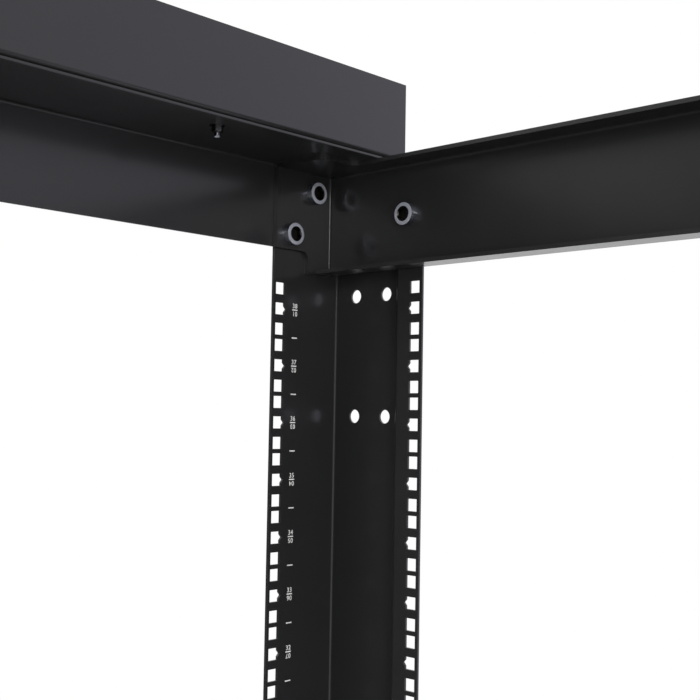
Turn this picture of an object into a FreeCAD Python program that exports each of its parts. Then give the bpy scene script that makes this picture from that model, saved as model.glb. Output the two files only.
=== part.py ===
import FreeCAD, Part
import math
import os

# Four-post open frame rack, 38 units high, bent and punched from steel sheet.
# Frame: +X to the right seen from the front, -Y to the front, +Z up, with the origin on the floor
# at the middle of the footprint. Millimetres.

# ---- Overall ----
units = 38                      # rack units between the lower and the upper frame
unit_height = 44.45
rack_width = 595.0              # over the webs of the left and right posts
rack_depth = 740.0              # over the mounting flanges of the front and rear posts
opening_width = 450.0           # clear width between the mounting flanges

# ---- Posts: a flange across the rack, a web along it, and a strip that steps in from the web ----
post_sheet = 2.0
post_bend_radius = 2.0          # inside radius of every bend
post_depth = 101.5              # flange face to the free edge of the strip
strip_step = 9.5                # how far the strip stands in from the web
strip_start = 76.0              # flange face to the far side of the step

# ---- Punched holes ----
square_hole = 9.5               # for cage nuts
flange_hole_inset = 7.55        # flange's free edge to its hole column
first_hole_rise = 6.35          # lower edge of a unit to its first hole
hole_rise = 15.875              # hole to hole inside a unit
holes_per_unit = 3
web_hole_diameter = 11.0
web_hole_inset = 24.0           # flange face to the first web hole
web_hole_spacing = 32.5
web_row_spacing = 96.6
web_row_drop = 8.7              # end of the mounting range to the first row of web holes

# ---- Side beams: channels with a folded end tab and a widened end pad ----
beam_sheet = 3.0
beam_bend_radius = 2.0
beam_height = 83.7
beam_flange = 24.0              # over the flange, web included
beam_to_units = 7.5             # beam to the end of the mounting range
beam_end_relief = 9.0           # bare corner between the end tab and the channel's lower flange
tab_leg_width = 27.0            # part of the tab that reaches down to the beam's lower edge
tab_notch_height = 17.5
tab_notch_radius = 6.0
pad_length = 50.0
pad_edge_gap = 1.5              # pad's free side back from the post flange's edge
pad_corner_radius = 8.0

# ---- Cross members: an angle over the post ends, with a channel bolted along it ----
angle_sheet = 2.0
angle_bend_radius = 2.0
angle_shelf = 77.9              # depth of the shelf that caps the posts
angle_apron = 67.2              # height of the leg outside the post flanges
channel_sheet = 2.0
channel_bend_radius = 2.0
channel_height = 61.6
channel_end_gap = 3.5           # channel end back from the post's outer face

# ---- Places that follow from the sizes above ----
left = -rack_width / 2
front = -rack_depth / 2
post_flange = (rack_width - opening_width) / 2
apron_face = front - angle_sheet
post_foot = channel_height + angle_sheet
first_unit = post_foot + beam_height + beam_to_units
last_unit = first_unit + units * unit_height
post_head = last_unit + beam_to_units + beam_height
rack_height = post_head + angle_sheet + channel_height
strip_face = left + post_sheet + strip_step
flange_inner_face = front + post_sheet


def rounded_edges(corners, radii, closed=False):
    """Straight edges through the corners, with a tangent arc of its own radius at each one."""
    count = len(corners)
    spots = []
    for i, corner in enumerate(corners):
        is_end = not closed and i in (0, count - 1)
        if is_end or radii[i] <= 0:
            spots.append((corner, None, corner))
            continue
        back = (corners[i - 1] - corner).normalize()
        ahead = (corners[(i + 1) % count] - corner).normalize()
        half_angle = back.getAngle(ahead) / 2
        reach = radii[i] / math.tan(half_angle)
        inward = (back + ahead).normalize()
        crown = corner + inward * (radii[i] / math.sin(half_angle) - radii[i])
        spots.append((corner + back * reach, crown, corner + ahead * reach))
    edges = []
    for i, (start, crown, end) in enumerate(spots):
        if crown is not None:
            edges.append(Part.Arc(start, crown, end).toShape())
        if i + 1 < count:
            edges.append(Part.makeLine(end, spots[i + 1][0]))
        elif closed:
            edges.append(Part.makeLine(end, spots[0][0]))
    return edges


def sheet_profile(corners, sheet, inside_radius):
    """Face of a bent sheet: its one side runs through the corners, and the metal lies to their left
    as seen against the axis that the corners turn about (the normal of their plane)."""
    normal = plane_normal(corners)
    far_corners = []
    near_radii = []
    far_radii = []
    for i, corner in enumerate(corners):
        sides = []
        if i > 0:
            sides.append((corner - corners[i - 1]).normalize())
        if i + 1 < len(corners):
            sides.append((corners[i + 1] - corner).normalize())
        offsets = [normal.cross(side) for side in sides]
        if len(offsets) == 1:
            far_corners.append(corner + offsets[0] * sheet)
            near_radii.append(0)
            far_radii.append(0)
            continue
        bisector = offsets[0] + offsets[1]
        far_corners.append(corner + bisector * (sheet * 2 / bisector.dot(bisector)))
        turns_to_metal = sides[0].cross(sides[1]).dot(normal) > 0
        near_radii.append(inside_radius + (sheet if turns_to_metal else 0))
        far_radii.append(inside_radius + (0 if turns_to_metal else sheet))
    near_edges = rounded_edges(corners, near_radii)
    far_edges = rounded_edges(far_corners, far_radii)
    caps = [Part.makeLine(corners[0], far_corners[0]), Part.makeLine(corners[-1], far_corners[-1])]
    return Part.Face(Part.Wire(Part.__sortEdges__(near_edges + far_edges + caps)))


def plane_normal(corners):
    """Normal of the X, Y or Z plane that the corners lie in, pointing along the positive axis."""
    spans = [max(c[i] for c in corners) - min(c[i] for c in corners) for i in range(3)]
    return FreeCAD.Vector(*[1 if i == spans.index(min(spans)) else 0 for i in range(3)])


def vec(x, y, z):
    return FreeCAD.Vector(x, y, z)


def unit_hole_heights():
    """Height of every square hole in a post's flange, from the lowest unit up."""
    for unit in range(units):
        for hole in range(holes_per_unit):
            yield first_unit + unit * unit_height + first_hole_rise + hole * hole_rise


def web_hole_centres():
    """Distance from the flange face and height of the four round holes below the upper frame."""
    for row in range(2):
        for column in range(2):
            along = web_hole_inset + column * web_hole_spacing
            yield along, last_unit - web_row_drop - row * web_row_spacing


def make_post():
    """Front left post, flange to the front and strip to the inside."""
    corners = [
        vec(left + post_flange, front, post_foot),
        vec(left, front, post_foot),
        vec(left, front + strip_start, post_foot),
        vec(left + strip_step, front + strip_start, post_foot),
        vec(left + strip_step, front + post_depth, post_foot),
    ]
    # the metal lies inside the flange and the web, so the path runs clockwise seen from above
    profile = sheet_profile(list(reversed(corners)), post_sheet, post_bend_radius)
    post = profile.extrude(vec(0, 0, post_head - post_foot))
    half = square_hole / 2
    column = left + post_flange - flange_hole_inset
    cutters = []
    for height in unit_hole_heights():
        low_corner = vec(column - half, front - post_sheet, height - half)
        cutters.append(Part.makeBox(square_hole, post_sheet * 3, square_hole, low_corner))
    for along, height in web_hole_centres():
        centre = vec(left - post_sheet, front + along, height)
        cutters.append(Part.makeCylinder(web_hole_diameter / 2, post_sheet * 3, centre, vec(1, 0, 0)))
    return post.cut(Part.makeCompound(cutters))


def make_beam_end(low, high):
    """Tab and pad at the front end of a left side beam whose edges are at low and high."""
    outer_radius = beam_bend_radius + beam_sheet
    free_side = left + post_flange
    tab_corners = [
        vec(free_side, flange_inner_face, low),
        vec(strip_face, flange_inner_face, low),
        vec(strip_face, flange_inner_face + beam_end_relief, low),
    ]
    tab = sheet_profile(list(reversed(tab_corners)), beam_sheet, beam_bend_radius)
    tab = tab.extrude(vec(0, 0, high - beam_sheet - low))
    notch_side = strip_face + tab_leg_width
    notch_corners = [
        vec(notch_side, front, low - beam_sheet),
        vec(notch_side, front, low + tab_notch_height),
        vec(free_side + beam_sheet, front, low + tab_notch_height),
        vec(free_side + beam_sheet, front, low - beam_sheet),
    ]
    notch_edges = rounded_edges(notch_corners, [0, tab_notch_radius, 0, 0], closed=True)
    notch = Part.Face(Part.Wire(notch_edges)).extrude(vec(0, post_sheet + 2 * beam_sheet, 0))
    pad_side = free_side - pad_edge_gap
    channel_side = strip_face + beam_flange
    pad_end = flange_inner_face + pad_length
    pad_corners = [
        vec(strip_face + outer_radius, flange_inner_face, high - beam_sheet),
        vec(pad_side, flange_inner_face, high - beam_sheet),
        vec(pad_side, pad_end, high - beam_sheet),
        vec(channel_side, pad_end, high - beam_sheet),
        vec(channel_side, pad_end + outer_radius * 2, high - beam_sheet),
        vec(strip_face + outer_radius, pad_end + outer_radius * 2, high - beam_sheet),
    ]
    pad_radii = [0, 0, pad_corner_radius, pad_corner_radius, 0, 0]
    pad = Part.Face(Part.Wire(rounded_edges(pad_corners, pad_radii, closed=True)))
    return [tab.cut(notch), pad.extrude(vec(0, 0, beam_sheet))]


def make_side_beam():
    """Upper left side beam: channel open to the inside, tabs on the post flanges at both ends."""
    low = last_unit + beam_to_units
    high = post_head
    start = flange_inner_face + beam_end_relief
    channel_corners = [
        vec(strip_face + beam_flange, start, high),
        vec(strip_face, start, high),
        vec(strip_face, start, low),
        vec(strip_face + beam_flange, start, low),
    ]
    profile = sheet_profile(list(reversed(channel_corners)), beam_sheet, beam_bend_radius)
    pieces = [profile.extrude(vec(0, -2 * start, 0))]
    for piece in make_beam_end(low, high):
        pieces.append(piece)
        pieces.append(piece.mirror(vec(0, 0, 0), vec(0, 1, 0)))
    return pieces[0].multiFuse(pieces[1:]).removeSplitter()


def make_cross_angle():
    """Upper front angle: apron down outside the post flanges, shelf over the post heads."""
    top = post_head + angle_sheet
    corners = [
        vec(left, apron_face, top - angle_apron),
        vec(left, apron_face, top),
        vec(left, apron_face + angle_shelf, top),
    ]
    profile = sheet_profile(list(reversed(corners)), angle_sheet, angle_bend_radius)
    return profile.extrude(vec(rack_width, 0, 0))


def make_cross_channel():
    """Upper front channel: base on the angle's shelf, open side away from the rack."""
    start = left + channel_end_gap
    base = post_head + angle_sheet
    corners = [
        vec(start, apron_face, rack_height),
        vec(start, apron_face, base),
        vec(start, apron_face + angle_shelf, base),
        vec(start, apron_face + angle_shelf, rack_height),
    ]
    profile = sheet_profile(corners, channel_sheet, channel_bend_radius)
    return profile.extrude(vec(-2 * start, 0, 0))


def mirrored(shape, side=None):
    """The shape on the other side of the rack: side is X, Y or Z, and Z is the middle height."""
    base = vec(0, 0, rack_height / 2)
    axes = {"X": vec(1, 0, 0), "Y": vec(0, 1, 0), "Z": vec(0, 0, 1)}
    return shape.mirror(base, axes[side])


def export(name, shape):
    solids = shape.Solids
    if len(solids) != 1 or not solids[0].isValid():
        raise ValueError(name + " is not one valid solid")
    solids[0].exportStep("parts/" + name + ".step")
    print(name, round(solids[0].Volume / 1000, 1), "cm3")


def main():
    os.makedirs("parts", exist_ok=True)
    post = make_post()
    post_right = mirrored(post, "X")
    export("post_front_left", post)
    export("post_front_right", post_right)
    export("post_rear_left", mirrored(post, "Y"))
    export("post_rear_right", mirrored(post_right, "Y"))
    beam = make_side_beam()
    for side, shape in (("left", beam), ("right", mirrored(beam, "X"))):
        export("side_beam_top_" + side, shape)
        export("side_beam_bottom_" + side, mirrored(shape, "Z"))
    for kind, shape in (("cross_angle", make_cross_angle()), ("cross_channel", make_cross_channel())):
        for end, piece in (("front", shape), ("rear", mirrored(shape, "Y"))):
            export(kind + "_top_" + end, piece)
            export(kind + "_bottom_" + end, mirrored(piece, "Z"))


main()
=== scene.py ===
import itertools
from math import cos, pi, radians, tau

import bmesh
import bpy
from bpy.props import FloatProperty, FloatVectorProperty, IntProperty, PointerProperty, StringProperty
from bpy.types import Operator, Panel, PropertyGroup
from mathutils import Euler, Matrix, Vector


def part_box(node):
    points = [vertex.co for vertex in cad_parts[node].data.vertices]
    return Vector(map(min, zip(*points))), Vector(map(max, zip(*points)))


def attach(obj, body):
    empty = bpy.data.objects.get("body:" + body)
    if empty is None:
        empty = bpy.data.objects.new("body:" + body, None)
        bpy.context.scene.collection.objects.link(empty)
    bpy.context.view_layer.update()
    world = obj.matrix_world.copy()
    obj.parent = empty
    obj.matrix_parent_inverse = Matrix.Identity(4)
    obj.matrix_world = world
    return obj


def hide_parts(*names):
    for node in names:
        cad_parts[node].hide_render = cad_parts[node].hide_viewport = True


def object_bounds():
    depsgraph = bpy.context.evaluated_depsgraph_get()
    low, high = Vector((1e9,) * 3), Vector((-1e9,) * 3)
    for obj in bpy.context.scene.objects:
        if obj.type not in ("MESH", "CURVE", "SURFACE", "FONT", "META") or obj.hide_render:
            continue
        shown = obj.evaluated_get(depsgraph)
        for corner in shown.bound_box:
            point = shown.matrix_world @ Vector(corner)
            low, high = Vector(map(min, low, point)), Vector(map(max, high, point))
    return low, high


bl_info = {
    "name": "Four post open frame rack",
    "version": (1, 0, 0),
    "blender": (4, 5, 0),
    "location": "View3D > Sidebar > Rack",
    "description": "Dresses the packed rack: punched posts, painted sheet, screws, nuts and unit numbers",
    "category": "Object",
}

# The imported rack, in metres: +Z up, -Y to the front, +X to the right seen from the front.
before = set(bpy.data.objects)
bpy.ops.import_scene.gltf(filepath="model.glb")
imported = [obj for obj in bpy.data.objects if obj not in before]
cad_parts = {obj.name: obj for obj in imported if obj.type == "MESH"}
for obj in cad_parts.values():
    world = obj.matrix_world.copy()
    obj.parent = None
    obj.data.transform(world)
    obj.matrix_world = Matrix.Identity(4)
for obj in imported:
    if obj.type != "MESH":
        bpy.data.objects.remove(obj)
cad_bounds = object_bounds()
post_low, post_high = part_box("post_front_left")
beam_low, beam_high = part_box("side_beam_top_left")
angle_low, angle_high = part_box("cross_angle_top_front")
channel_low, channel_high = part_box("cross_channel_top_front")

MM = 0.001
WELD = 0.01 * MM                # points closer than this are one
FINE_WELD = 0.005 * MM          # the same for fasteners and ink
BODY = "root"
POSTS = {
    # node: (is the mirror image, turn about Z)
    "post_front_right": (False, 0.0),
    "post_front_left": (True, 0.0),
    "post_rear_left": (False, pi),
    "post_rear_right": (True, pi),
}
BEAMS = ["side_beam_top_left", "side_beam_top_right", "side_beam_bottom_left", "side_beam_bottom_right"]
CROSS_MEMBERS = [
    f"cross_{kind}_{level}_{end}"
    for kind in ("angle", "channel") for level in ("top", "bottom") for end in ("front", "rear")
]


# ---- small helpers

def linear(hex_colour):
    """An sRGB colour such as #1b1b1c as a linear RGBA tuple."""
    channels = [int(hex_colour[i:i + 2], 16) / 255 for i in (1, 3, 5)]
    return tuple(c / 12.92 if c <= 0.04045 else ((c + 0.055) / 1.055) ** 2.4 for c in channels) + (1.0,)


PREFIXES = ("GeometryNode", "ShaderNode", "FunctionNode")


def add(tree, kind, inputs=None, **settings):
    """Adds a node, its kind without the prefix. Inputs are values or outputs, by socket name or number."""
    node = tree.nodes.new(next(prefix + kind for prefix in PREFIXES if hasattr(bpy.types, prefix + kind)))
    for key, value in settings.items():
        setattr(node, key, value)
    for key, value in (inputs or {}).items():
        if isinstance(value, bpy.types.NodeSocket):
            tree.links.new(value, node.inputs[key])
        else:
            node.inputs[key].default_value = value
    return node


def out(tree, kind, inputs=None, **settings):
    """Adds one node and gives its first output."""
    return add(tree, kind, inputs, **settings).outputs[0]


SIGNS = {"+": "ADD", "-": "SUBTRACT", "*": "MULTIPLY", "/": "DIVIDE"}


def calc(tree, operation, *values, **settings):
    """The result of one Math node, whose operation is one of the signs or a name."""
    name = SIGNS.get(operation, operation)
    return out(tree, "Math", dict(enumerate(values)), operation=name, **settings)


def vector(tree, **axes):
    """A vector from values for X, Y and Z. An axis that isn't given is 0."""
    return out(tree, "CombineXYZ", axes)


def moved(tree, geometry, **change):
    """The geometry after a Translation, Rotation or Scale."""
    return out(tree, "Transform", {"Geometry": geometry, **change})


def copies(tree, points, instance, **more):
    """A real copy of the instance on each point."""
    placed = out(tree, "InstanceOnPoints", {"Points": points, "Instance": instance, **more})
    return out(tree, "RealizeInstances", {0: placed})


def test(tree, operation, first, second):
    """Whether first is LESS_THAN or GREATER_THAN second."""
    return out(tree, "Compare", {0: first, 1: second}, operation=operation)


def welded(tree, geometry, distance):
    """The geometry with points closer than the distance joined to one."""
    return out(tree, "MergeByDistance", {"Geometry": geometry, "Distance": distance})


def new_tree(name, **sockets):
    """A Geometry Nodes group with one geometry output, and inputs listed by type."""
    tree = bpy.data.node_groups.new(name, "GeometryNodeTree")
    tree.interface.new_socket("Geometry", in_out="OUTPUT", socket_type="NodeSocketGeometry")
    for kind, labels in sockets.items():
        for label in labels:
            tree.interface.new_socket(label, in_out="INPUT", socket_type="NodeSocket" + kind)
    return tree, tree.nodes.new("NodeGroupInput").outputs


def close_tree(tree, geometry, material=None):
    """The finished group, which puts out the geometry, in the material if one is given."""
    if material:
        whole = out(tree, "RealizeInstances", {0: geometry})
        geometry = out(tree, "SetMaterial", {0: whole, 2: material})
    tree.links.new(geometry, tree.nodes.new("NodeGroupOutput").inputs[0])
    return tree


def join(tree, parts):
    """Joins geometry sockets, in the order given."""
    node = tree.nodes.new("GeometryNodeJoinGeometry")
    for part in reversed(parts):
        tree.links.new(part, node.inputs[0])
    return node.outputs[0]


def in_scene(name, data):
    """A new object with that data, linked to the scene."""
    thing = bpy.data.objects.new(name, data)
    bpy.context.scene.collection.objects.link(thing)
    return thing


def grown(name, tree, values, start_mesh=None, bevel=0.0):
    """A plain mesh object made by a Geometry Nodes tree, with its edges rounded by bevel."""
    carrier = in_scene(name + "_carrier", start_mesh or bpy.data.meshes.new(name + "_start"))
    modifier = carrier.modifiers.new("made", "NODES")
    modifier.node_group = tree
    items = tree.interface.items_tree
    sockets = {item.name: item.identifier for item in items if item.in_out == "INPUT"}
    for label, value in values.items():
        modifier[sockets[label]] = value
    return settled(name, carrier, bevel)


def by_label(settings, *names):
    """The named settings, keyed like a node group's inputs: web_row_drop as Web Row Drop."""
    return {name.replace("_", " ").title(): getattr(settings, name) for name in names}


def settled(name, carrier, bevel=0.0):
    """The carrier's evaluated shape as a new plain object at the origin. The carrier is removed."""
    if bevel:
        rounding = carrier.modifiers.new("edges", "BEVEL")
        rounding.width = bevel
        rounding.segments = 2
        rounding.limit_method = "ANGLE"
        rounding.angle_limit = radians(40)
        rounding.use_clamp_overlap = True
        weighting = carrier.modifiers.new("normals", "WEIGHTED_NORMAL")
        weighting.keep_sharp = True
        weighting.weight = 80
    evaluated = carrier.evaluated_get(bpy.context.evaluated_depsgraph_get())
    mesh = bpy.data.meshes.new_from_object(evaluated)
    mesh.name = name
    bpy.data.objects.remove(carrier)
    if not mesh.polygons:
        raise RuntimeError(name + " came out empty")
    return in_scene(name, mesh)


def fit(piece, *replaced):
    """The piece rides on the rack and stands for the CAD nodes named."""
    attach(piece, BODY)
    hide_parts(*replaced)


def length(name, description, default):
    """A setting in metres."""
    return FloatProperty(name=name, description=description, default=default, unit="LENGTH", precision=6)


def angle(name, description, degrees):
    """A setting that is kept in radians."""
    return FloatProperty(name=name, description=description, default=radians(degrees), subtype="ANGLE")


def fraction(name, description, default):
    """A setting from 0 to 1."""
    return FloatProperty(name=name, description=description, default=default, min=0, max=1)


def colour_of(name, subject, default):
    """A setting that holds an sRGB colour."""
    return StringProperty(name=name, description="sRGB hex colour of " + subject, default=default)


def power_of(name, description, default):
    """A lamp's power in watts."""
    return FloatProperty(name=name, description=description, default=default, unit="POWER")


# ---- materials

def noise_of(tree, place, grain, detail):
    """Noise whose largest grain is the given length in metres."""
    return out(tree, "TexNoise", {
        "Vector": place, "Scale": 1 / grain, "Detail": detail, "Roughness": 0.55})


def new_material(name):
    """An empty material, its node tree and the place of each point on the object."""
    material = bpy.data.materials.new(name)
    material.use_nodes = True
    tree = material.node_tree
    tree.nodes.clear()
    return material, tree, add(tree, "TexCoord").outputs["Object"]


def tint(tree, share, first, second):
    """A colour between two hex colours."""
    colours = {0: share, 6: linear(first), 7: linear(second)}
    return add(tree, "Mix", colours, data_type="RGBA").outputs[2]


def between(tree, share, low, high):
    """A value that runs from low to high over the middle of the noise."""
    return out(tree, "MapRange", {0: share, 1: 0.3, 2: 0.7, 3: low, 4: high})


def shaded(material, inputs):
    """The material, finished with one Principled shader."""
    shader = out(material.node_tree, "BsdfPrincipled", inputs)
    add(material.node_tree, "OutputMaterial", {0: shader})
    return material


def powder_coat(name, finish):
    """Powder coat on steel: near-black and satin, since its orange peel blurs what it mirrors, with a thin
    glossy skin that shows at a glancing angle."""
    material, tree, place = new_material(name)
    patches = noise_of(tree, place, finish.patch_size, 3)
    roughness = between(tree, patches, finish.coat_roughness - 0.03, finish.coat_roughness + 0.03)
    peel = noise_of(tree, place, finish.peel_size, 2)
    grit = noise_of(tree, place, finish.peel_size / 3, 1)
    relief = calc(tree, "MULTIPLY_ADD", grit, 0.35, peel)
    bump = out(tree, "Bump", {"Strength": 0.5, "Distance": finish.peel_depth, "Height": relief})
    return shaded(material, {
        "Base Color": tint(tree, patches, finish.coat_dark, finish.coat_light), "Roughness": roughness,
        "IOR": 1.5, "Specular IOR Level": finish.body_gloss, "Normal": bump,
        "Coat Weight": finish.skin_gloss, "Coat Roughness": finish.skin_roughness, "Coat IOR": 1.5,
        "Coat Normal": bump})


def metal(name, dark, light, grain, roughness, metallic=1.0,
          bump_grain=None, detail=2, strength=0.5, depth=0):
    """Metal with faint clouds in its colour and roughness, and a bump if its grain is given."""
    material, tree, place = new_material(name)
    clouds = noise_of(tree, place, grain, 2)
    look = {"Base Color": tint(tree, clouds, dark, light), "Metallic": metallic,
            "Roughness": between(tree, clouds, *roughness)}
    if bump_grain:
        height = noise_of(tree, place, bump_grain, detail)
        look["Normal"] = out(tree, "Bump", {"Strength": strength, "Distance": depth, "Height": height})
    return shaded(material, look)


def zinc_plate(name, finish):
    """Bright zinc plate on turned steel: pale cool grey, faintly cloudy, with soft highlights."""
    return metal(name, finish.zinc_dark, finish.zinc_light, 4 * MM, (0.2, 0.3),
                 bump_grain=0.6 * MM, strength=0.2, depth=0.01 * MM)


def turned_zinc(name, finish):
    """Zinc over a lathe-turned face: fine tool rings scatter the light, so it stays pale all round."""
    return metal(name, finish.zinc_dark, finish.zinc_light, 3 * MM, (0.33, 0.33), metallic=0.6,
                 bump_grain=0.4 * MM, detail=1, depth=0.05 * MM)


def black_zinc(name, finish):
    """Black zinc plate: dark and fairly glossy, so that mostly its edges catch the light."""
    return metal(name, finish.nut_dark, finish.nut_light, 2 * MM, (0.26, 0.26))


def recess_painted_shade_and_glints(name, finish):
    """Broached hexagon that the plating hardly reaches: dark oily steel, its colour darkened further as
    painted shade of the deep socket, with small warm specks of lighter colour as painted glints.
    """
    return metal(name, finish.recess_painted_shade, finish.recess_painted_glints, 1.5 * MM, (0.3, 0.3))


def screen_ink(name, finish):
    """White screen ink on the coat: a flat film that thins in specks where the peel shows through."""
    material, tree, place = new_material(name)
    specks = noise_of(tree, place, 0.5 * MM, 2)
    cover = out(tree, "MapRange", {0: specks, 1: 0.26, 2: 0.38})
    return shaded(material, {"Base Color": tint(tree, cover, finish.ink_thin, finish.ink),
                             "Roughness": 0.6, "IOR": 1.45})


MAKERS = {
    "powder_coat_black_satin": powder_coat,
    "zinc_plated_steel": zinc_plate,
    "zinc_plated_turned_face": turned_zinc,
    "black_zinc_plated_nut": black_zinc,
    "broached_steel_recess": recess_painted_shade_and_glints,
    "screen_printed_white": screen_ink,
}


def material_named(name):
    """The material of that name, made the first time it is asked for."""
    return bpy.data.materials.get(name) or MAKERS[name](name, bpy.context.scene.rack_finish)


# ---- posts

BEND_SEGMENTS = 6
ROUND_HOLE_SIDES = 32
FLANGE, STRIP = 0, 6            # places of the two punched bands among the blank's seven
NEAR = 0.1 * MM                 # well under the spacing of a hole outline's points


def fold_tree():
    """Folds a flat sheet about Z: what lies past Line in X turns by Angle, round Inside Radius."""
    tree, given = new_tree("fold", Geometry=["Sheet Blank"],
                           Float=["Line", "Angle", "Thickness", "Inside Radius", "Bend Length"])
    place = add(tree, "SeparateXYZ", {0: out(tree, "InputPosition")})
    past = calc(tree, "-", place.outputs[0], given["Line"])
    share = calc(tree, "/", past, given["Bend Length"], use_clamp=True)
    turn = calc(tree, "*", share, given["Angle"])
    in_bend = calc(tree, "*", share, given["Bend Length"])
    straight = calc(tree, "-", past, in_bend)
    towards = test(tree, "GREATER_THAN", given["Angle"], 0.0)
    inner_side = calc(tree, "+", given["Thickness"], given["Inside Radius"])
    outer_side = calc(tree, "*", given["Inside Radius"], -1.0)
    centre = out(tree, "Switch", {0: towards, 1: outer_side, 2: inner_side}, input_type="FLOAT")
    from_centre = calc(tree, "-", place.outputs[1], centre)
    arm = vector(tree, X=straight, Y=from_centre, Z=place.outputs[2])
    turned = out(tree, "VectorRotate", {"Vector": arm, "Angle": turn}, rotation_type="Z_AXIS")
    hinge = vector(tree, X=given["Line"], Y=centre)
    folded = out(tree, "VectorMath", {0: turned, 1: hinge})
    return close_tree(tree, out(tree, "SetPosition", {
        "Geometry": given["Sheet Blank"], "Position": folded}))


def hole_column_tree():
    """Outlines of one unit's three square holes. The middle one has a small notch that marks the unit."""
    tree, given = new_tree("hole_column", Float=[
        "Column", "Hole", "First Rise", "Rise", "Notch", "Notch Turn"])
    square = out(tree, "CurvePrimitiveQuadrilateral", {"Width": given["Hole"], "Height": given["Hole"]})
    finer = out(tree, "SubdivideCurve", {"Curve": square, "Cuts": 3})
    place = add(tree, "SeparateXYZ", {0: out(tree, "InputPosition")})
    at_middle = test(tree, "LESS_THAN", calc(tree, "ABSOLUTE", place.outputs[1]), NEAR)
    at_side = test(tree, "GREATER_THAN", place.outputs[0], NEAR)
    nib = out(tree, "BooleanMath", {0: at_middle, 1: at_side})
    notched = out(tree, "SetPosition", {
        "Geometry": finer, "Selection": nib, "Offset": vector(tree, X=given["Notch"])})
    middle_height = calc(tree, "+", given["First Rise"], given["Rise"])
    middle = moved(tree, notched, Translation=vector(tree, X=given["Column"], Y=middle_height),
                   Rotation=vector(tree, Z=given["Notch Turn"]))
    start = vector(tree, X=given["Column"], Y=given["First Rise"])
    step = vector(tree, Y=calc(tree, "*", given["Rise"], 2.0))
    ends = out(tree, "MeshLine", {"Count": 2, "Start Location": start, "Offset": step})
    return close_tree(tree, join(tree, [copies(tree, ends, square), middle]))


def on_blank(tree, shape, start, width, height):
    """Moves a shape from around the origin, so that its left side is at start and its foot at 0."""
    half_width = calc(tree, "MULTIPLY_ADD", width, 0.5, start)
    half_height = calc(tree, "*", height, 0.5)
    return moved(tree, shape, Translation=vector(tree, X=half_width, Y=half_height))


def band(tree, start, width, height, segments, cuts=None):
    """A flat strip of the blank from start to start + width, as a grid, or filled around the cuts."""
    if cuts is None:
        grid = out(tree, "MeshGrid", {
            "Size X": width, "Size Y": height, "Vertices X": segments + 1, "Vertices Y": 2})
        return on_blank(tree, grid, start, width, height)
    outline = out(tree, "CurvePrimitiveQuadrilateral", {"Width": width, "Height": height})
    outline = on_blank(tree, outline, start, width, height)
    return out(tree, "FillCurve", {0: join(tree, [outline, cuts])}, mode="NGONS")


def punched_web(tree, given, start):
    """The web over all the units, with an edge point at each unit and round holes near both ends."""
    units_high = calc(tree, "*", given["Units"], given["Unit Height"])
    rows = calc(tree, "+", given["Units"], 1.0)
    grid = out(tree, "MeshGrid", {
        "Size X": given["Web Flat"], "Size Y": units_high, "Vertices X": 2, "Vertices Y": rows})
    neighbours = out(tree, "InputMeshEdgeNeighbors")
    rim = out(tree, "Compare", {2: neighbours, 3: 1}, data_type="INT", operation="EQUAL")
    outline = out(tree, "MeshToCurve", {"Mesh": grid, "Selection": rim})
    outline = on_blank(tree, outline, start, given["Web Flat"], units_high)
    circle = out(tree, "CurvePrimitiveCircle", {
        "Resolution": ROUND_HOLE_SIDES, "Radius": given["Web Hole Radius"]})
    across = vector(tree, X=given["Web Hole Spacing"])
    lowest = given["Web Row Drop"]
    highest = calc(tree, "-", units_high, lowest)
    below_highest = calc(tree, "-", highest, given["Web Row Spacing"])
    above_lowest = calc(tree, "+", lowest, given["Web Row Spacing"])
    shapes = [outline]
    for height in (highest, below_highest, lowest, above_lowest):
        corner = vector(tree, X=given["Web Hole Column"], Y=height)
        pair = out(tree, "MeshLine", {"Count": 2, "Start Location": corner, "Offset": across})
        shapes.append(copies(tree, pair, circle))
    return out(tree, "FillCurve", {0: join(tree, shapes)}, mode="NGONS")


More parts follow.
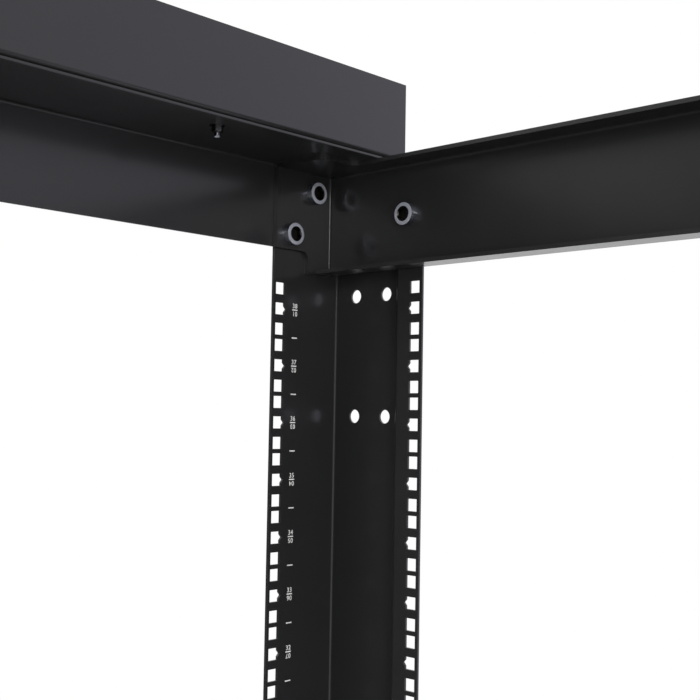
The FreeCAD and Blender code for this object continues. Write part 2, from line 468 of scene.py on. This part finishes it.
def post_tree():
    """A post: the blank is punched flat, thickened, folded three times and stood in its corner."""
    tree, given = new_tree(
        "post", Int=["Units"], Bool=["Mirrored"], Vector=["Corner"], Material=["Coat"],
        Float=[
            "Unit Height", "Lower Margin", "Upper Margin", "Flange Flat", "Web Flat", "Step Flat",
            "Strip Flat", "Bend Length", "Thickness", "Inside Radius", "Hole", "First Rise", "Rise",
            "Notch", "Flange Hole Inset", "Strip Hole Inset", "Web Hole Radius", "Web Hole Column",
            "Web Hole Spacing", "Web Row Drop", "Web Row Spacing", "Turn"])
    widths = [
        "Flange Flat", "Bend Length", "Web Flat", "Bend Length", "Step Flat", "Bend Length", "Strip Flat"]
    starts = [out(tree, "Value")]
    for label in widths:
        starts.append(calc(tree, "+", starts[-1], given[label]))
    holes = hole_column_tree()
    punch = {label: given[label] for label in ("Hole", "First Rise", "Rise", "Notch")}
    strip_column = calc(tree, "-", starts[7], given["Strip Hole Inset"])
    cuts = {}
    for i, column, turn in ((FLANGE, given["Flange Hole Inset"], 0.0), (STRIP, strip_column, pi)):
        cuts[i] = out(tree, "Group", {"Column": column, "Notch Turn": turn, **punch}, node_tree=holes)
    unit_bands = []
    margin_bands = {"Lower Margin": [], "Upper Margin": []}
    for i, label in enumerate(widths):
        segments = BEND_SEGMENTS if label == "Bend Length" else 1
        if label != "Web Flat":
            unit_bands.append(band(
                tree, starts[i], given[label], given["Unit Height"], segments, cuts.get(i)))
        for margin, bands in margin_bands.items():
            bands.append(band(tree, starts[i], given[label], given[margin], segments))
    pitch = vector(tree, Y=given["Unit Height"])
    unit_places = out(tree, "MeshLine", {"Count": given["Units"], "Offset": pitch})
    stacked = copies(tree, unit_places, join(tree, unit_bands))
    below = calc(tree, "*", given["Lower Margin"], -1.0)
    above = calc(tree, "*", given["Units"], given["Unit Height"])
    ends = [moved(tree, join(tree, margin_bands[margin]), Translation=vector(tree, Y=height))
            for margin, height in (("Lower Margin", below), ("Upper Margin", above))]
    blank = join(tree, [stacked, punched_web(tree, given, starts[2])] + ends)
    blank = moved(tree, blank, Translation=vector(tree, Y=given["Lower Margin"]))
    blank = welded(tree, blank, WELD)
    depth = vector(tree, Z=calc(tree, "*", given["Thickness"], -1.0))
    walls = out(tree, "ExtrudeMesh", {"Mesh": blank, "Offset": depth, "Individual": False})
    walls = out(tree, "FlipFaces", {0: walls})
    sheet = welded(tree, join(tree, [blank, walls]), WELD)
    sheet = moved(tree, sheet, Rotation=(pi / 2, 0, 0))
    fold = fold_tree()
    bend = {label: given[label] for label in ("Thickness", "Inside Radius", "Bend Length")}
    for i, angle_of_fold in ((5, -pi / 2), (3, pi / 2), (1, pi / 2)):
        line = {"Sheet Blank": sheet, "Line": starts[i], "Angle": angle_of_fold}
        sheet = out(tree, "Group", {**line, **bend}, node_tree=fold)
    stood = moved(tree, sheet, Translation=given["Corner"])
    other = out(tree, "FlipFaces", {0: moved(tree, stood, Scale=(-1, 1, 1))})
    stood = out(tree, "Switch", {0: given["Mirrored"], 1: stood, 2: other}, input_type="GEOMETRY")
    placed = moved(tree, stood, Rotation=vector(tree, Z=given["Turn"]))
    smooth = out(tree, "SetShadeSmooth", {"Geometry": placed})
    return close_tree(tree, smooth, given["Coat"])


class RackPosts(PropertyGroup):
    units: IntProperty(
        name="Units", description="Rack units between the lower and the upper frame", default=38, min=1)
    unit_height: length("Unit height", "Height of one rack unit", 0.04445)
    beam_gap: length("Beam gap", "Side beam to the end of the units", 0.0075)
    sheet: length("Sheet", "Thickness of the steel", 0.002)
    bend_radius: length("Bend radius", "Inside radius of each fold", 0.002)
    strip_start: length("Strip start", "Flange face to the far side of the step", 0.076)
    strip_step: length("Strip step", "How far the strip stands in from the web", 0.0095)
    hole: length("Square hole", "Side of a cage nut's hole", 0.0095)
    first_rise: length("First hole", "Lower edge of a unit to its first hole", 0.00635)
    rise: length("Hole rise", "Hole to hole inside a unit", 0.015875)
    notch: length("Notch", "Depth of the nick that marks each unit's middle hole", 0.002)
    flange_hole_inset: length("Flange hole inset", "Flange's free edge to its hole column", 0.00755)
    strip_hole_inset: length("Strip hole inset", "Strip's free edge to its hole column", 0.0075)
    web_hole: length("Web hole", "Diameter of the round holes", 0.011)
    web_hole_inset: length("Web hole inset", "Flange face to the first round hole", 0.024)
    web_hole_spacing: length("Web hole spacing", "Round hole to round hole in a row", 0.0325)
    web_row_drop: length("Web row drop", "End of the units to the first row of round holes", 0.0087)
    web_row_spacing: length("Web row spacing", "Row to row of round holes", 0.0966)
    coat: length("Coat", "Thickness of the coat inside each hole", 0.00012)
    edge: length("Edge rounding", "How far the coat rounds each cut edge", 0.0002)


def first_unit_height(posts):
    """Height of the lowest unit's lower edge, counted down from the upper beam by all the units."""
    return beam_low.z - posts.beam_gap - posts.units * posts.unit_height


class RACK_OT_posts(Operator):
    """Punches, folds and stands the four posts"""
    bl_idname = "rack.posts"
    bl_label = "Posts"

    def execute(self, context):
        sizes = context.scene.rack_posts
        outside = sizes.bend_radius + sizes.sheet
        bend_length = (sizes.bend_radius + sizes.sheet / 2) * pi / 2
        flange_flat = post_high.x - post_low.x - outside
        first_unit = first_unit_height(sizes)
        values = by_label(
            sizes, "units", "unit_height", "first_rise", "rise", "notch", "flange_hole_inset",
            "strip_hole_inset", "web_hole_spacing", "web_row_drop", "web_row_spacing")
        values |= {
            "Lower Margin": first_unit - post_low.z,
            "Upper Margin": post_high.z - first_unit - sizes.units * sizes.unit_height,
            "Flange Flat": flange_flat,
            "Web Flat": sizes.strip_start - 2 * outside,
            "Step Flat": sizes.strip_step - outside - sizes.bend_radius,
            "Strip Flat": post_high.y - post_low.y - sizes.strip_start - sizes.bend_radius,
            "Bend Length": bend_length,
            "Thickness": sizes.sheet,
            "Inside Radius": sizes.bend_radius,
            "Hole": sizes.hole - 2 * sizes.coat,
            "Web Hole Radius": sizes.web_hole / 2 - sizes.coat,
            "Web Hole Column": flange_flat + bend_length + sizes.web_hole_inset - outside,
            "Corner": (-post_high.x, post_low.y, post_low.z),
            "Coat": material_named("powder_coat_black_satin"),
        }
        tree = post_tree()
        for node, (mirrored, turn) in POSTS.items():
            values |= {"Mirrored": mirrored, "Turn": turn}
            fit(grown(node.replace("post", "punched_post"), tree, values, bevel=sizes.edge), node)
        return {"FINISHED"}


# ---- beams, angles and channels

class RackFrames(PropertyGroup):
    edge: length("Edge rounding", "How far the coat rounds each cut edge", 0.0004)


def coated_copy(node, edge):
    """Makes the node's sheet with its cut edges rounded by the coat, to stand for the node."""
    mesh = bpy.data.meshes.new(node + "_sheet")
    shape = bmesh.new()
    shape.from_mesh(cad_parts[node].data)
    bmesh.ops.remove_doubles(shape, verts=shape.verts, dist=WELD)
    bmesh.ops.dissolve_limit(shape, angle_limit=radians(1), verts=shape.verts, edges=shape.edges)
    for face in shape.faces:
        face.smooth = True
    shape.to_mesh(mesh)
    shape.free()
    mesh.materials.clear()
    mesh.materials.append(material_named("powder_coat_black_satin"))
    fit(settled("coated_" + node, in_scene(node + "_carrier", mesh), edge), node)


class RACK_OT_side_beams(Operator):
    """Coats the four side beams and rounds their cut edges"""
    bl_idname = "rack.side_beams"
    bl_label = "Side beams"

    def execute(self, context):
        for node in BEAMS:
            coated_copy(node, context.scene.rack_frames.edge)
        return {"FINISHED"}


class RACK_OT_cross_members(Operator):
    """Coats the angles and channels across the rack and rounds their cut edges"""
    bl_idname = "rack.cross_members"
    bl_label = "Cross members"

    def execute(self, context):
        for node in CROSS_MEMBERS:
            coated_copy(node, context.scene.rack_frames.edge)
        return {"FINISHED"}


# ---- screws and nuts

def places_mesh(name, places):
    """A mesh of loose points, each with the direction that its fastener faces."""
    mesh = bpy.data.meshes.new(name)
    mesh.from_pydata([place for place, _ in places], [], [])
    facing = mesh.attributes.new("facing", "FLOAT_VECTOR", "POINT")
    facing.data.foreach_set("vector", [c for _, direction in places for c in direction])
    return mesh


def fastener_tree(name, profiles, seed):
    """One fastener on each point, faced by its direction. A profile is a list of (radius, height), a number
    of sides, the first and last hexagonal point, and each finish's first and last band."""
    tree, given = new_tree(name, Geometry=["Places"], Material=["Plating", "Turned", "Recess"])
    solids = []
    for points, segments, hex_range, finishes in profiles:
        grid = out(tree, "MeshGrid", {
            "Size X": 1.0, "Size Y": 1.0, "Vertices X": segments + 1, "Vertices Y": len(points)})
        index = out(tree, "InputIndex")
        rows = float(len(points))
        row = calc(tree, "MODULO", index, rows)
        column = calc(tree, "FLOOR", calc(tree, "/", index, rows))
        spots = add(tree, "IndexSwitch", {"Index": row}, data_type="VECTOR")
        while len(spots.index_switch_items) < len(points):
            spots.index_switch_items.new()
        for i, (radius, height) in enumerate(points):
            hexagonal = 1.0 if hex_range[0] <= i <= hex_range[1] else 0.0
            spots.inputs[i + 1].default_value = (radius, hexagonal, height)
        spot = add(tree, "SeparateXYZ", {0: spots.outputs[0]})
        turn = calc(tree, "*", column, 2 * pi / segments)
        # a hexagon's outline lies at cos 30 / cos(angle from the middle of its side) of its corner radius
        in_side = calc(tree, "-", calc(tree, "MODULO", turn, pi / 3), pi / 6)
        share = calc(tree, "/", cos(pi / 6), calc(tree, "COSINE", in_side))
        share = out(tree, "Mix", {0: spot.outputs[1], 2: 1.0, 3: share}, data_type="FLOAT")
        radius = calc(tree, "*", spot.outputs[0], share)
        arm = vector(tree, X=radius, Z=spot.outputs[2])
        place = out(tree, "VectorRotate", {"Vector": arm, "Angle": turn}, rotation_type="Z_AXIS")
        shaped = out(tree, "SetMaterial", {0: grid, 2: given["Plating"]})
        face_band = calc(tree, "MODULO", index, rows - 1)
        for finish, (first, last) in finishes.items():
            # input 12 is how far from the middle still counts as equal
            bands = {0: face_band, 1: (first + last) / 2, 12: (last - first) / 2 + 0.1}
            chosen = out(tree, "Compare", bands, operation="EQUAL")
            shaped = out(tree, "SetMaterial", {0: shaped, 1: chosen, 2: given[finish]})
        shaped = out(tree, "SetPosition", {"Geometry": shaped, "Position": place})
        solids.append(welded(tree, shaped, FINE_WELD))
    smooth = out(tree, "SetShadeSmooth", {"Geometry": join(tree, solids)})
    crease = test(tree, "GREATER_THAN", out(tree, "InputMeshEdgeAngle"), radians(25))
    sharp = {"Geometry": smooth, "Selection": crease, "Shade Smooth": False}
    smooth = out(tree, "SetShadeSmooth", sharp, domain="EDGE")
    facing = out(tree, "InputNamedAttribute", {"Name": "facing"}, data_type="FLOAT_VECTOR")
    aim = out(tree, "AlignRotationToVector", {"Vector": facing}, axis="Z")
    spin = add(tree, "RandomValue", {2: 0.0, 3: tau, "Seed": seed}).outputs[1]
    spin = out(tree, "AxisAngleToRotation", {0: (0, 0, 1), 1: spin})
    aim = out(tree, "RotateRotation", {0: aim, 1: spin}, rotation_space="LOCAL")
    return close_tree(tree, copies(tree, given["Places"], smooth, Rotation=aim))


def fastener_metals(plating):
    """The finishes of a fastener with the given plating."""
    # the Recess finish is dark steel painted darker still as shade of the deep socket, with painted glints
    return {"Plating": material_named(plating), "Turned": material_named("zinc_plated_turned_face"),
            "Recess": material_named("broached_steel_recess")}


class RackScrews(PropertyGroup):
    head: length("Head", "Diameter of a beam screw's head", 0.0173)
    height: length("Head height", "Height of the head", 0.0062)
    chamfer: length("Chamfer", "Broken edge of the head", 0.0004)
    rim: length("Rim", "Inner diameter of the head's flat ring", 0.0118)
    socket: length("Socket", "Hexagon socket across its corners", 0.0115)
    socket_depth: length("Socket depth", "Depth of the hexagon", 0.0048)
    upper_out: length("Upper screw out", "Upper tab screw, from the beam's web", 0.0215)
    upper_rise: length("Upper screw rise", "Upper tab screw, above the beam's lower edge", 0.065)
    lower_out: length("Lower screw out", "Lower tab screw, from the beam's web", 0.0462)
    lower_rise: length("Lower screw rise", "Lower tab screw, above the beam's lower edge", 0.0292)
    web_back: length("Web screw back", "Web screw, from the flange's inner face", 0.0868)
    web_rise: length("Web screw rise", "Web screw, above the beam's lower edge", 0.0418)
    beam_sheet: length("Beam sheet", "Thickness of the side beams", 0.003)


def mirrored_places(place, facing):
    """The eight places that one place in the upper front left corner stands for."""
    middle = (cad_bounds[0].z + cad_bounds[1].z) / 2
    return [((place[0] * x, place[1] * y, middle + (place[2] - middle) * z),
             (facing[0] * x, facing[1] * y, facing[2] * z))
            for x, y, z in itertools.product((1, -1), repeat=3)]


class RACK_OT_screws(Operator):
    """Sets the socket screws that hold the side beams to the posts"""
    bl_idname = "rack.screws"
    bl_label = "Beam screws"

    def execute(self, context):
        sizes = context.scene.rack_screws
        radius, rim, hexagon = sizes.head / 2, sizes.rim / 2, sizes.socket / 2
        top, chamfer = sizes.height, sizes.chamfer
        foot, lead_in, drill_tip = -0.2 * MM, 0.9 * MM, 1 * MM
        socket_end = top - sizes.socket_depth
        profile = [
            (0.0, foot), (radius, foot), (radius, top - chamfer),
            (radius - 0.3 * chamfer, top - 0.3 * chamfer), (radius - chamfer, top), (rim, top),
            (hexagon, top - lead_in), (hexagon, socket_end), (0.0, socket_end - drill_tip)]
        solid = (profile, 48, (6, 7), {"Turned": (2, 4), "Recess": (5, 7)})
        tree = fastener_tree("socket_screw", [solid], seed=4)
        web_face = beam_low.x + sizes.beam_sheet
        tab_face = beam_low.y + sizes.beam_sheet
        places = []
        for inward, rise in ((sizes.upper_out, sizes.upper_rise), (sizes.lower_out, sizes.lower_rise)):
            places += mirrored_places((beam_low.x + inward, tab_face, beam_low.z + rise), (0, 1, 0))
        places += mirrored_places(
            (web_face, beam_low.y + sizes.web_back, beam_low.z + sizes.web_rise), (1, 0, 0))
        metals = fastener_metals("zinc_plated_steel")
        piece = grown("beam_screws", tree, metals, places_mesh("beam_screw_places", places))
        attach(piece, BODY)
        return {"FINISHED"}


class RackNuts(PropertyGroup):
    nut: length("Nut", "Nut across its corners", 0.0081)
    nut_height: length("Nut height", "Height of the nut", 0.0040)
    washer: length("Washer", "Diameter of the washer", 0.0108)
    washer_sheet: length("Washer thickness", "Thickness of the washer", 0.0008)
    thread: length("Thread", "Diameter of the bolt", 0.004)
    thread_end: length("Thread end", "How far the bolt stands out of the nut", 0.0033)
    from_end: length("From the end", "Bolt to the end of the cross member", 0.177)
    from_front: length("From the front", "Bolt to the apron's outer face", 0.058)


class RACK_OT_nuts(Operator):
    """Sets the small bolts and nuts that hold the channels on the angles"""
    bl_idname = "rack.nuts"
    bl_label = "Channel bolts"

    def execute(self, context):
        sizes = context.scene.rack_nuts
        corner = sizes.nut / 2
        crown = 0.97 * corner * cos(pi / 6)
        bolt = sizes.thread / 2
        washer_top = sizes.washer_sheet
        top = washer_top + sizes.nut_height
        bolt_top = top + sizes.thread_end
        nut_chamfer = 0.4 * MM
        bolt_chamfer = 0.5 * MM
        channel_sheet = 2 * MM
        washer = [(0.0, 0.0), (sizes.washer / 2, 0.0), (sizes.washer / 2, washer_top), (0.0, washer_top)]
        nut = [(0.0, washer_top), (corner, washer_top), (corner, top - nut_chamfer),
               (crown, top), (bolt, top), (0.0, top)]
        bolt_end = [
            (0.0, top), (bolt, top), (bolt, bolt_top - bolt_chamfer), (bolt - bolt_chamfer, bolt_top),
            (0.0, bolt_top)]
        # the button head is twice as wide as the bolt and domed
        head = [(0.0, 0.0), (2 * bolt, 0.0), (2 * bolt, 1.2 * MM),
                (1.6 * bolt, 2.2 * MM), (0.0, 2.6 * MM)]
        x = angle_low.x + sizes.from_end
        y = angle_low.y + sizes.from_front
        round_all = (9, 9)          # past the last point, so that none is hexagonal
        solids = [(washer, 32, round_all, {}), (nut, 36, (1, 2), {}),
                  (bolt_end, 24, round_all, {"Turned": (2, 3)})]
        nuts = fastener_tree("nut_and_washer", solids, seed=7)
        metals = fastener_metals("black_zinc_plated_nut")
        places = mirrored_places((x, y, post_high.z), (0, 0, -1))
        piece = grown("channel_nuts", nuts, metals, places_mesh("nut_places", places))
        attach(piece, BODY)
        heads = fastener_tree("button_head", [(head, 32, round_all, {})], seed=9)
        places = mirrored_places((x, y, channel_low.z + channel_sheet), (0, 0, 1))
        piece = grown("channel_bolt_heads", heads, metals, places_mesh("head_places", places))
        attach(piece, BODY)
        return {"FINISHED"}


# ---- unit numbers

FONT_OVER_DIGIT = 1.37          # font size over the height of its digits
DIGIT_SPACING = 1.08


def numbers_tree():
    """Unit numbers up one flange: counted from below, a bar, and counted from above upside down."""
    tree, given = new_tree(
        "unit_numbers", Int=["Units"], Vector=["Place"], Material=["Ink"],
        Float=[
            "Unit Height", "Digit Height", "Bar Width", "Bar Height", "Middle", "Gap", "Stroke Growth",
            "Film", "Turn"])
    start = tree.nodes.new("GeometryNodeRepeatInput")
    end = tree.nodes.new("GeometryNodeRepeatOutput")
    start.pair_with_output(end)
    tree.links.new(given["Units"], start.inputs["Iterations"])
    count = start.outputs["Iteration"]
    from_below = calc(tree, "+", count, 1.0)
    from_above = calc(tree, "-", given["Units"], count)
    unit_foot = calc(tree, "*", count, given["Unit Height"])
    label_height = calc(tree, "+", unit_foot, given["Middle"])
    gap = calc(tree, "MULTIPLY_ADD", given["Bar Height"], 0.5, given["Gap"])
    pairs = []
    for number, turn in ((from_below, 0.0), (from_above, pi)):
        whole = out(tree, "ValueToString", {0: number}, data_type="INT")
        zero = out(tree, "InputString", string="0")
        padded = add(tree, "StringJoin", {})
        for text in (whole, zero):
            tree.links.new(text, padded.inputs["Strings"])
        single = test(tree, "LESS_THAN", number, 9.5)
        text = out(tree, "Switch", {0: single, 1: whole, 2: padded.outputs[0]}, input_type="STRING")
        size = calc(tree, "*", given["Digit Height"], FONT_OVER_DIGIT)
        letters = {"String": text, "Size": size, "Character Spacing": DIGIT_SPACING}
        glyphs = out(tree, "StringToCurves", letters, align_x="CENTER", align_y="BOTTOM_BASELINE")
        raised = moved(tree, glyphs, Translation=vector(tree, Y=gap))
        pairs.append(moved(tree, raised, Rotation=(0, 0, turn)))
    label = out(tree, "RealizeInstances", {0: join(tree, pairs)})
    label = out(tree, "SetSplineResolution", {"Geometry": label, "Resolution": 4})
    # each outline moves out sideways from its own direction, which thickens the strokes
    label = out(tree, "ResampleCurve", {"Curve": label}, mode="EVALUATED")
    along = out(tree, "InputTangent")
    outward = out(tree, "VectorMath", {0: along, 1: (0, 0, 1)}, operation="CROSS_PRODUCT")
    outward = out(tree, "VectorMath", {0: outward, "Scale": given["Stroke Growth"]}, operation="SCALE")
    label = out(tree, "SetPosition", {"Geometry": label, "Offset": outward})
    bar = out(tree, "CurvePrimitiveQuadrilateral", {
        "Width": given["Bar Width"], "Height": given["Bar Height"]})
    label = moved(tree, join(tree, [label, bar]), Translation=vector(tree, Y=label_height))
    dash = moved(tree, bar, Translation=vector(tree, Y=unit_foot))
    shapes = out(tree, "FillCurve", {0: join(tree, [label, dash])}, mode="NGONS")
    tree.links.new(join(tree, [start.outputs["Geometry"], shapes]), end.inputs["Geometry"])
    printed = end.outputs["Geometry"]
    depth = vector(tree, Z=given["Film"])
    raised = out(tree, "ExtrudeMesh", {"Mesh": printed, "Offset": depth, "Individual": False})
    back = out(tree, "FlipFaces", {0: printed})
    film = welded(tree, join(tree, [raised, back]), FINE_WELD)
    film = moved(tree, film, Rotation=(pi / 2, 0, 0))
    film = moved(tree, film, Translation=given["Place"])
    film = moved(tree, film, Rotation=vector(tree, Z=given["Turn"]))
    return close_tree(tree, film, given["Ink"])


class RackNumbers(PropertyGroup):
    digit_height: length("Digit height", "Height of a printed digit", 0.0037)
    bar_width: length("Bar width", "Width of the bars", 0.0057)
    bar_height: length("Bar height", "Height of the bars", 0.0009)
    gap: length("Gap", "Bar to the digits", 0.001)
    stroke_growth: length("Stroke growth", "How far the ink spreads past each stroke", 0.00006)
    from_holes: length("From the holes", "Hole column to the middle of the numbers", 0.0159)
    film: length("Film", "Thickness of the ink", 0.00008)


class RACK_OT_unit_numbers(Operator):
    """Prints the unit numbers on the inner faces of the mounting flanges"""
    bl_idname = "rack.unit_numbers"
    bl_label = "Unit numbers"

    def execute(self, context):
        posts = context.scene.rack_posts
        sizes = context.scene.rack_numbers
        tree = numbers_tree()
        values = by_label(posts, "units", "unit_height")
        values |= by_label(
            sizes, "digit_height", "bar_width", "bar_height", "gap", "stroke_growth", "film")
        values |= {"Middle": posts.first_rise + posts.rise, "Ink": material_named("screen_printed_white")}
        column = -post_high.x + posts.flange_hole_inset + sizes.from_holes
        face = -post_low.y - posts.sheet
        for node, (side, turn) in {
            "front_right": (-1, pi), "front_left": (1, pi),
            "rear_right": (1, 0.0), "rear_left": (-1, 0.0),
        }.items():
            values |= {"Place": (side * column, face, first_unit_height(posts)), "Turn": turn}
            piece = grown("unit_numbers_" + node, tree, values)
            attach(piece, BODY)
        return {"FINISHED"}


# ---- finish and stage

class RackFinish(PropertyGroup):
    coat_dark: colour_of("Coat, darker", "the coat's darker patches", "#1f1f20")
    coat_light: colour_of("Coat, lighter", "the coat's lighter patches", "#242425")
    coat_roughness: fraction("Coat roughness", "Roughness of the satin coat", 0.4)
    body_gloss: fraction("Body gloss", "Specular level under the skin, 0.5 is full", 0.28)
    skin_gloss: fraction("Skin gloss", "How much glossy skin the coat has", 0.6)
    skin_roughness: fraction("Skin roughness", "Roughness of the glossy skin", 0.17)
    patch_size: length("Patch size", "Size of the coat's faint patches", 0.05)
    peel_size: length("Peel size", "Size of the orange peel, drawn coarser than the real 1 mm", 0.0018)
    peel_depth: length("Peel depth", "Depth of the orange peel", 0.00002)
    zinc_dark: colour_of("Zinc, darker", "the plating's darker clouds", "#bfc2d0")
    zinc_light: colour_of("Zinc, lighter", "the plating's lighter clouds", "#dfe1ec")
    nut_dark: colour_of("Nut, darker", "the nuts' darker clouds", "#3a3a3c")
    nut_light: colour_of("Nut, lighter", "the nuts' lighter clouds", "#6a6a6e")
    # the sockets' two colours hold painted light: the darker is painted shade of the deep socket, the
    # lighter makes painted glints
    recess_painted_shade: colour_of("Recess, darker", "the sockets' darker painted_light", "#2a2a29")
    recess_painted_glints: colour_of("Recess, lighter", "the sockets' lighter painted_light", "#55534c")
    ink: colour_of("Ink", "the printed numbers", "#e8e8e6")
    ink_thin: colour_of("Ink, thin", "the ink where it thins", "#a8a8a7")


class RackStage(PropertyGroup):
    camera_place: FloatVectorProperty(
        name="Camera place", description="Where the camera stands", default=(0.37247, 0.28357, 1.73636),
        unit="LENGTH", precision=5)
    lens: FloatProperty(
        name="Lens", description="Focal length on a 36 mm wide sensor, in millimetres", default=58.62)
    heading: angle("Heading", "Camera's turn about the vertical", 133.565)
    tilt: angle("Tilt", "How far the camera looks up", 3.463)
    roll: angle("Roll", "Camera's turn about its view", 0.968)
    floor_radius: length("Floor radius", "How far the pale floor reaches", 5.0)
    surround: FloatProperty(name="Surround", description="Brightness of the room's light", default=0.57)
    floor_colour: colour_of("Floor", "the studio floor", "#f4f4f3")
    mirrored_cool: colour_of("Mirrored cool side", "the room's cooler side", "#f2eeff")
    mirrored_dark: colour_of("Mirrored dark side", "the room's darker side", "#505050")
    mirrored_floor: colour_of("Mirrored floor", "the floor in the coat", "#6c6c6c")
    dark_side: FloatVectorProperty(
        name="Dark side", description="Direction of the room's darker side", default=(0.8, -0.6, 0.0),
        subtype="DIRECTION")
    front_lamp: power_of("Front lamp", "Power of the lamp behind the camera", 78)
    glint_lamp: power_of("Glint lamp", "Power of the small lamp that draws the glints", 25)
    top_lamp: power_of("Top lamp", "Power of the high lamp", 40)


def stage_floor(stage):
    """Pale studio floor that fades into the white surround, and is darker where the coat mirrors it."""
    radius = stage.floor_radius
    mesh = bpy.data.meshes.new("floor")
    shape = bmesh.new()
    bmesh.ops.create_circle(shape, cap_ends=True, radius=radius, segments=96)
    shape.to_mesh(mesh)
    shape.free()
    material, tree, place = new_material("studio_floor")
    distance = add(tree, "VectorMath", {0: place}, operation="LENGTH").outputs["Value"]
    from_to = {1: 0.35 * radius, 2: 0.9 * radius}
    fade = out(tree, "MapRange", {0: distance, **from_to}, interpolation_type="SMOOTHSTEP")
    path = add(tree, "LightPath")
    colour = tint(tree, path.outputs["Is Glossy Ray"], stage.floor_colour, stage.mirrored_floor)
    paint = out(tree, "BsdfDiffuse", {"Color": colour})
    clear = out(tree, "BsdfTransparent")
    shader = out(tree, "MixShader", {0: fade, 1: paint, 2: clear})
    add(tree, "OutputMaterial", {0: shader})
    mesh.materials.append(material)
    floor = in_scene("floor", mesh)


WHITE = "#ffffff"


def studio_world(stage):
    """A soft even surround that lights the rack, and a white room for what is seen or mirrored, a little
    cooler behind the rack's left side and darker in front of its right side."""
    world = bpy.data.worlds.new("studio")
    world.use_nodes = True
    tree = world.node_tree
    tree.nodes.clear()
    direction = add(tree, "TexCoord").outputs["Generated"]
    dark_side = Vector(stage.dark_side).normalized()
    both = {0: direction, 1: dark_side}
    towards = add(tree, "VectorMath", both, operation="DOT_PRODUCT").outputs["Value"]
    towards = out(tree, "MapRange", {0: towards, 1: -1.0, 2: 1.0})
    room = add(tree, "ValToRGB", {0: towards})
    room.color_ramp.interpolation = "EASE"
    shades = [(0.0, linear(stage.mirrored_cool)), (0.3, linear(WHITE)), (0.65, linear(WHITE)),
              (0.9, linear(stage.mirrored_dark))]
    while len(room.color_ramp.elements) < len(shades):
        room.color_ramp.elements.new(0.5)
    for stop, (position, colour) in zip(room.color_ramp.elements, shades):
        stop.position = position
        stop.color = colour
    path = add(tree, "LightPath")
    clear = calc(tree, "MAXIMUM", path.outputs["Is Camera Ray"], path.outputs["Is Transmission Ray"])
    soft = out(tree, "Background", {0: linear(WHITE), 1: stage.surround})
    mirrored = out(tree, "Background", {0: room.outputs[0], 1: 1.0})
    white = out(tree, "Background", {0: linear(WHITE), 1: 1.0})
    shader = out(tree, "MixShader", {0: path.outputs["Is Glossy Ray"], 1: soft, 2: mirrored})
    shader = out(tree, "MixShader", {0: clear, 1: shader, 2: white})
    add(tree, "OutputWorld", {0: shader})
    bpy.context.scene.world = world


LAMPS = {
    # name: (place, point it faces, side, whether the coat mirrors it)
    "front_lamp": ((1.6, 2.8, 1.55), (0, 0, 1.3), 1.1, False),
    "glint_lamp": ((2.15, 2.42, 2.65), (0, 0, 1.6), 0.8, True),
    "top_lamp": ((1.4, -1.6, 3.6), (0, 0, 1.2), 1.6, True),
}


def soft_box(name, power):
    """One of the square area lamps. A lamp that isn't mirrored leaves no glare on the coat."""
    place, aim, size, mirrored = LAMPS[name]
    lamp = bpy.data.lights.new(name, "AREA")
    lamp.shape = "SQUARE"
    lamp.size = size
    lamp.energy = power
    holder = in_scene(name, lamp)
    holder.location = place
    holder.visible_glossy = mirrored
    holder.rotation_euler = (Vector(aim) - Vector(place)).to_track_quat("-Z", "Y").to_euler()


class RACK_OT_stage(Operator):
    """Sets the floor, the studio light and the camera"""
    bl_idname = "rack.stage"
    bl_label = "Stage"

    def execute(self, context):
        stage = context.scene.rack_stage
        stage_floor(stage)
        studio_world(stage)
        for name in LAMPS:
            soft_box(name, getattr(stage, name))
        camera = in_scene("camera", bpy.data.cameras.new("camera"))
        camera.data.lens = stage.lens
        camera.data.sensor_width = 36
        camera.data.clip_start = 0.01
        camera.location = stage.camera_place
        look = Euler((pi / 2 + stage.tilt, 0, stage.heading)).to_matrix()
        camera.rotation_euler = (look @ Euler((0, 0, stage.roll)).to_matrix()).to_euler()
        context.scene.camera = camera
        context.scene.view_settings.view_transform = "Standard"
        return {"FINISHED"}


class RACK_PT_sidebar(Panel):
    """Shows each section's settings and its operator's button"""
    bl_idname = "RACK_PT_sidebar"
    bl_label = "Rack"
    bl_space_type = "VIEW_3D"
    bl_region_type = "UI"
    bl_category = "Rack"

    def draw(self, context):
        for name, _, operator in SECTIONS:
            box = self.layout.box()
            settings = getattr(context.scene, name) if name else None
            for label in settings.__annotations__ if settings else ():
                box.prop(settings, label)
            if operator:
                box.operator(operator.bl_idname)


SECTIONS = [
    # settings, their class and the operator that uses them, in the order in which main runs them
    ("rack_finish", RackFinish, None),
    ("rack_posts", RackPosts, RACK_OT_posts),
    ("rack_frames", RackFrames, RACK_OT_side_beams),
    (None, None, RACK_OT_cross_members),
    ("rack_screws", RackScrews, RACK_OT_screws),
    ("rack_nuts", RackNuts, RACK_OT_nuts),
    ("rack_numbers", RackNumbers, RACK_OT_unit_numbers),
    ("rack_stage", RackStage, RACK_OT_stage),
]
SETTINGS = {name: group for name, group, _ in SECTIONS if name}
OPERATORS = [operator for _, _, operator in SECTIONS if operator]
CLASSES = list(SETTINGS.values()) + OPERATORS + [RACK_PT_sidebar]


def register():
    for item in CLASSES:
        bpy.utils.register_class(item)
    for name, group in SETTINGS.items():
        setattr(bpy.types.Scene, name, PointerProperty(type=group))


def unregister():
    for name in SETTINGS:
        delattr(bpy.types.Scene, name)
    for item in reversed(CLASSES):
        bpy.utils.unregister_class(item)


def main():
    register()
    for operator in OPERATORS:
        getattr(bpy.ops.rack, operator.bl_idname.removeprefix("rack."))()


if __name__ == "__main__":
    main()
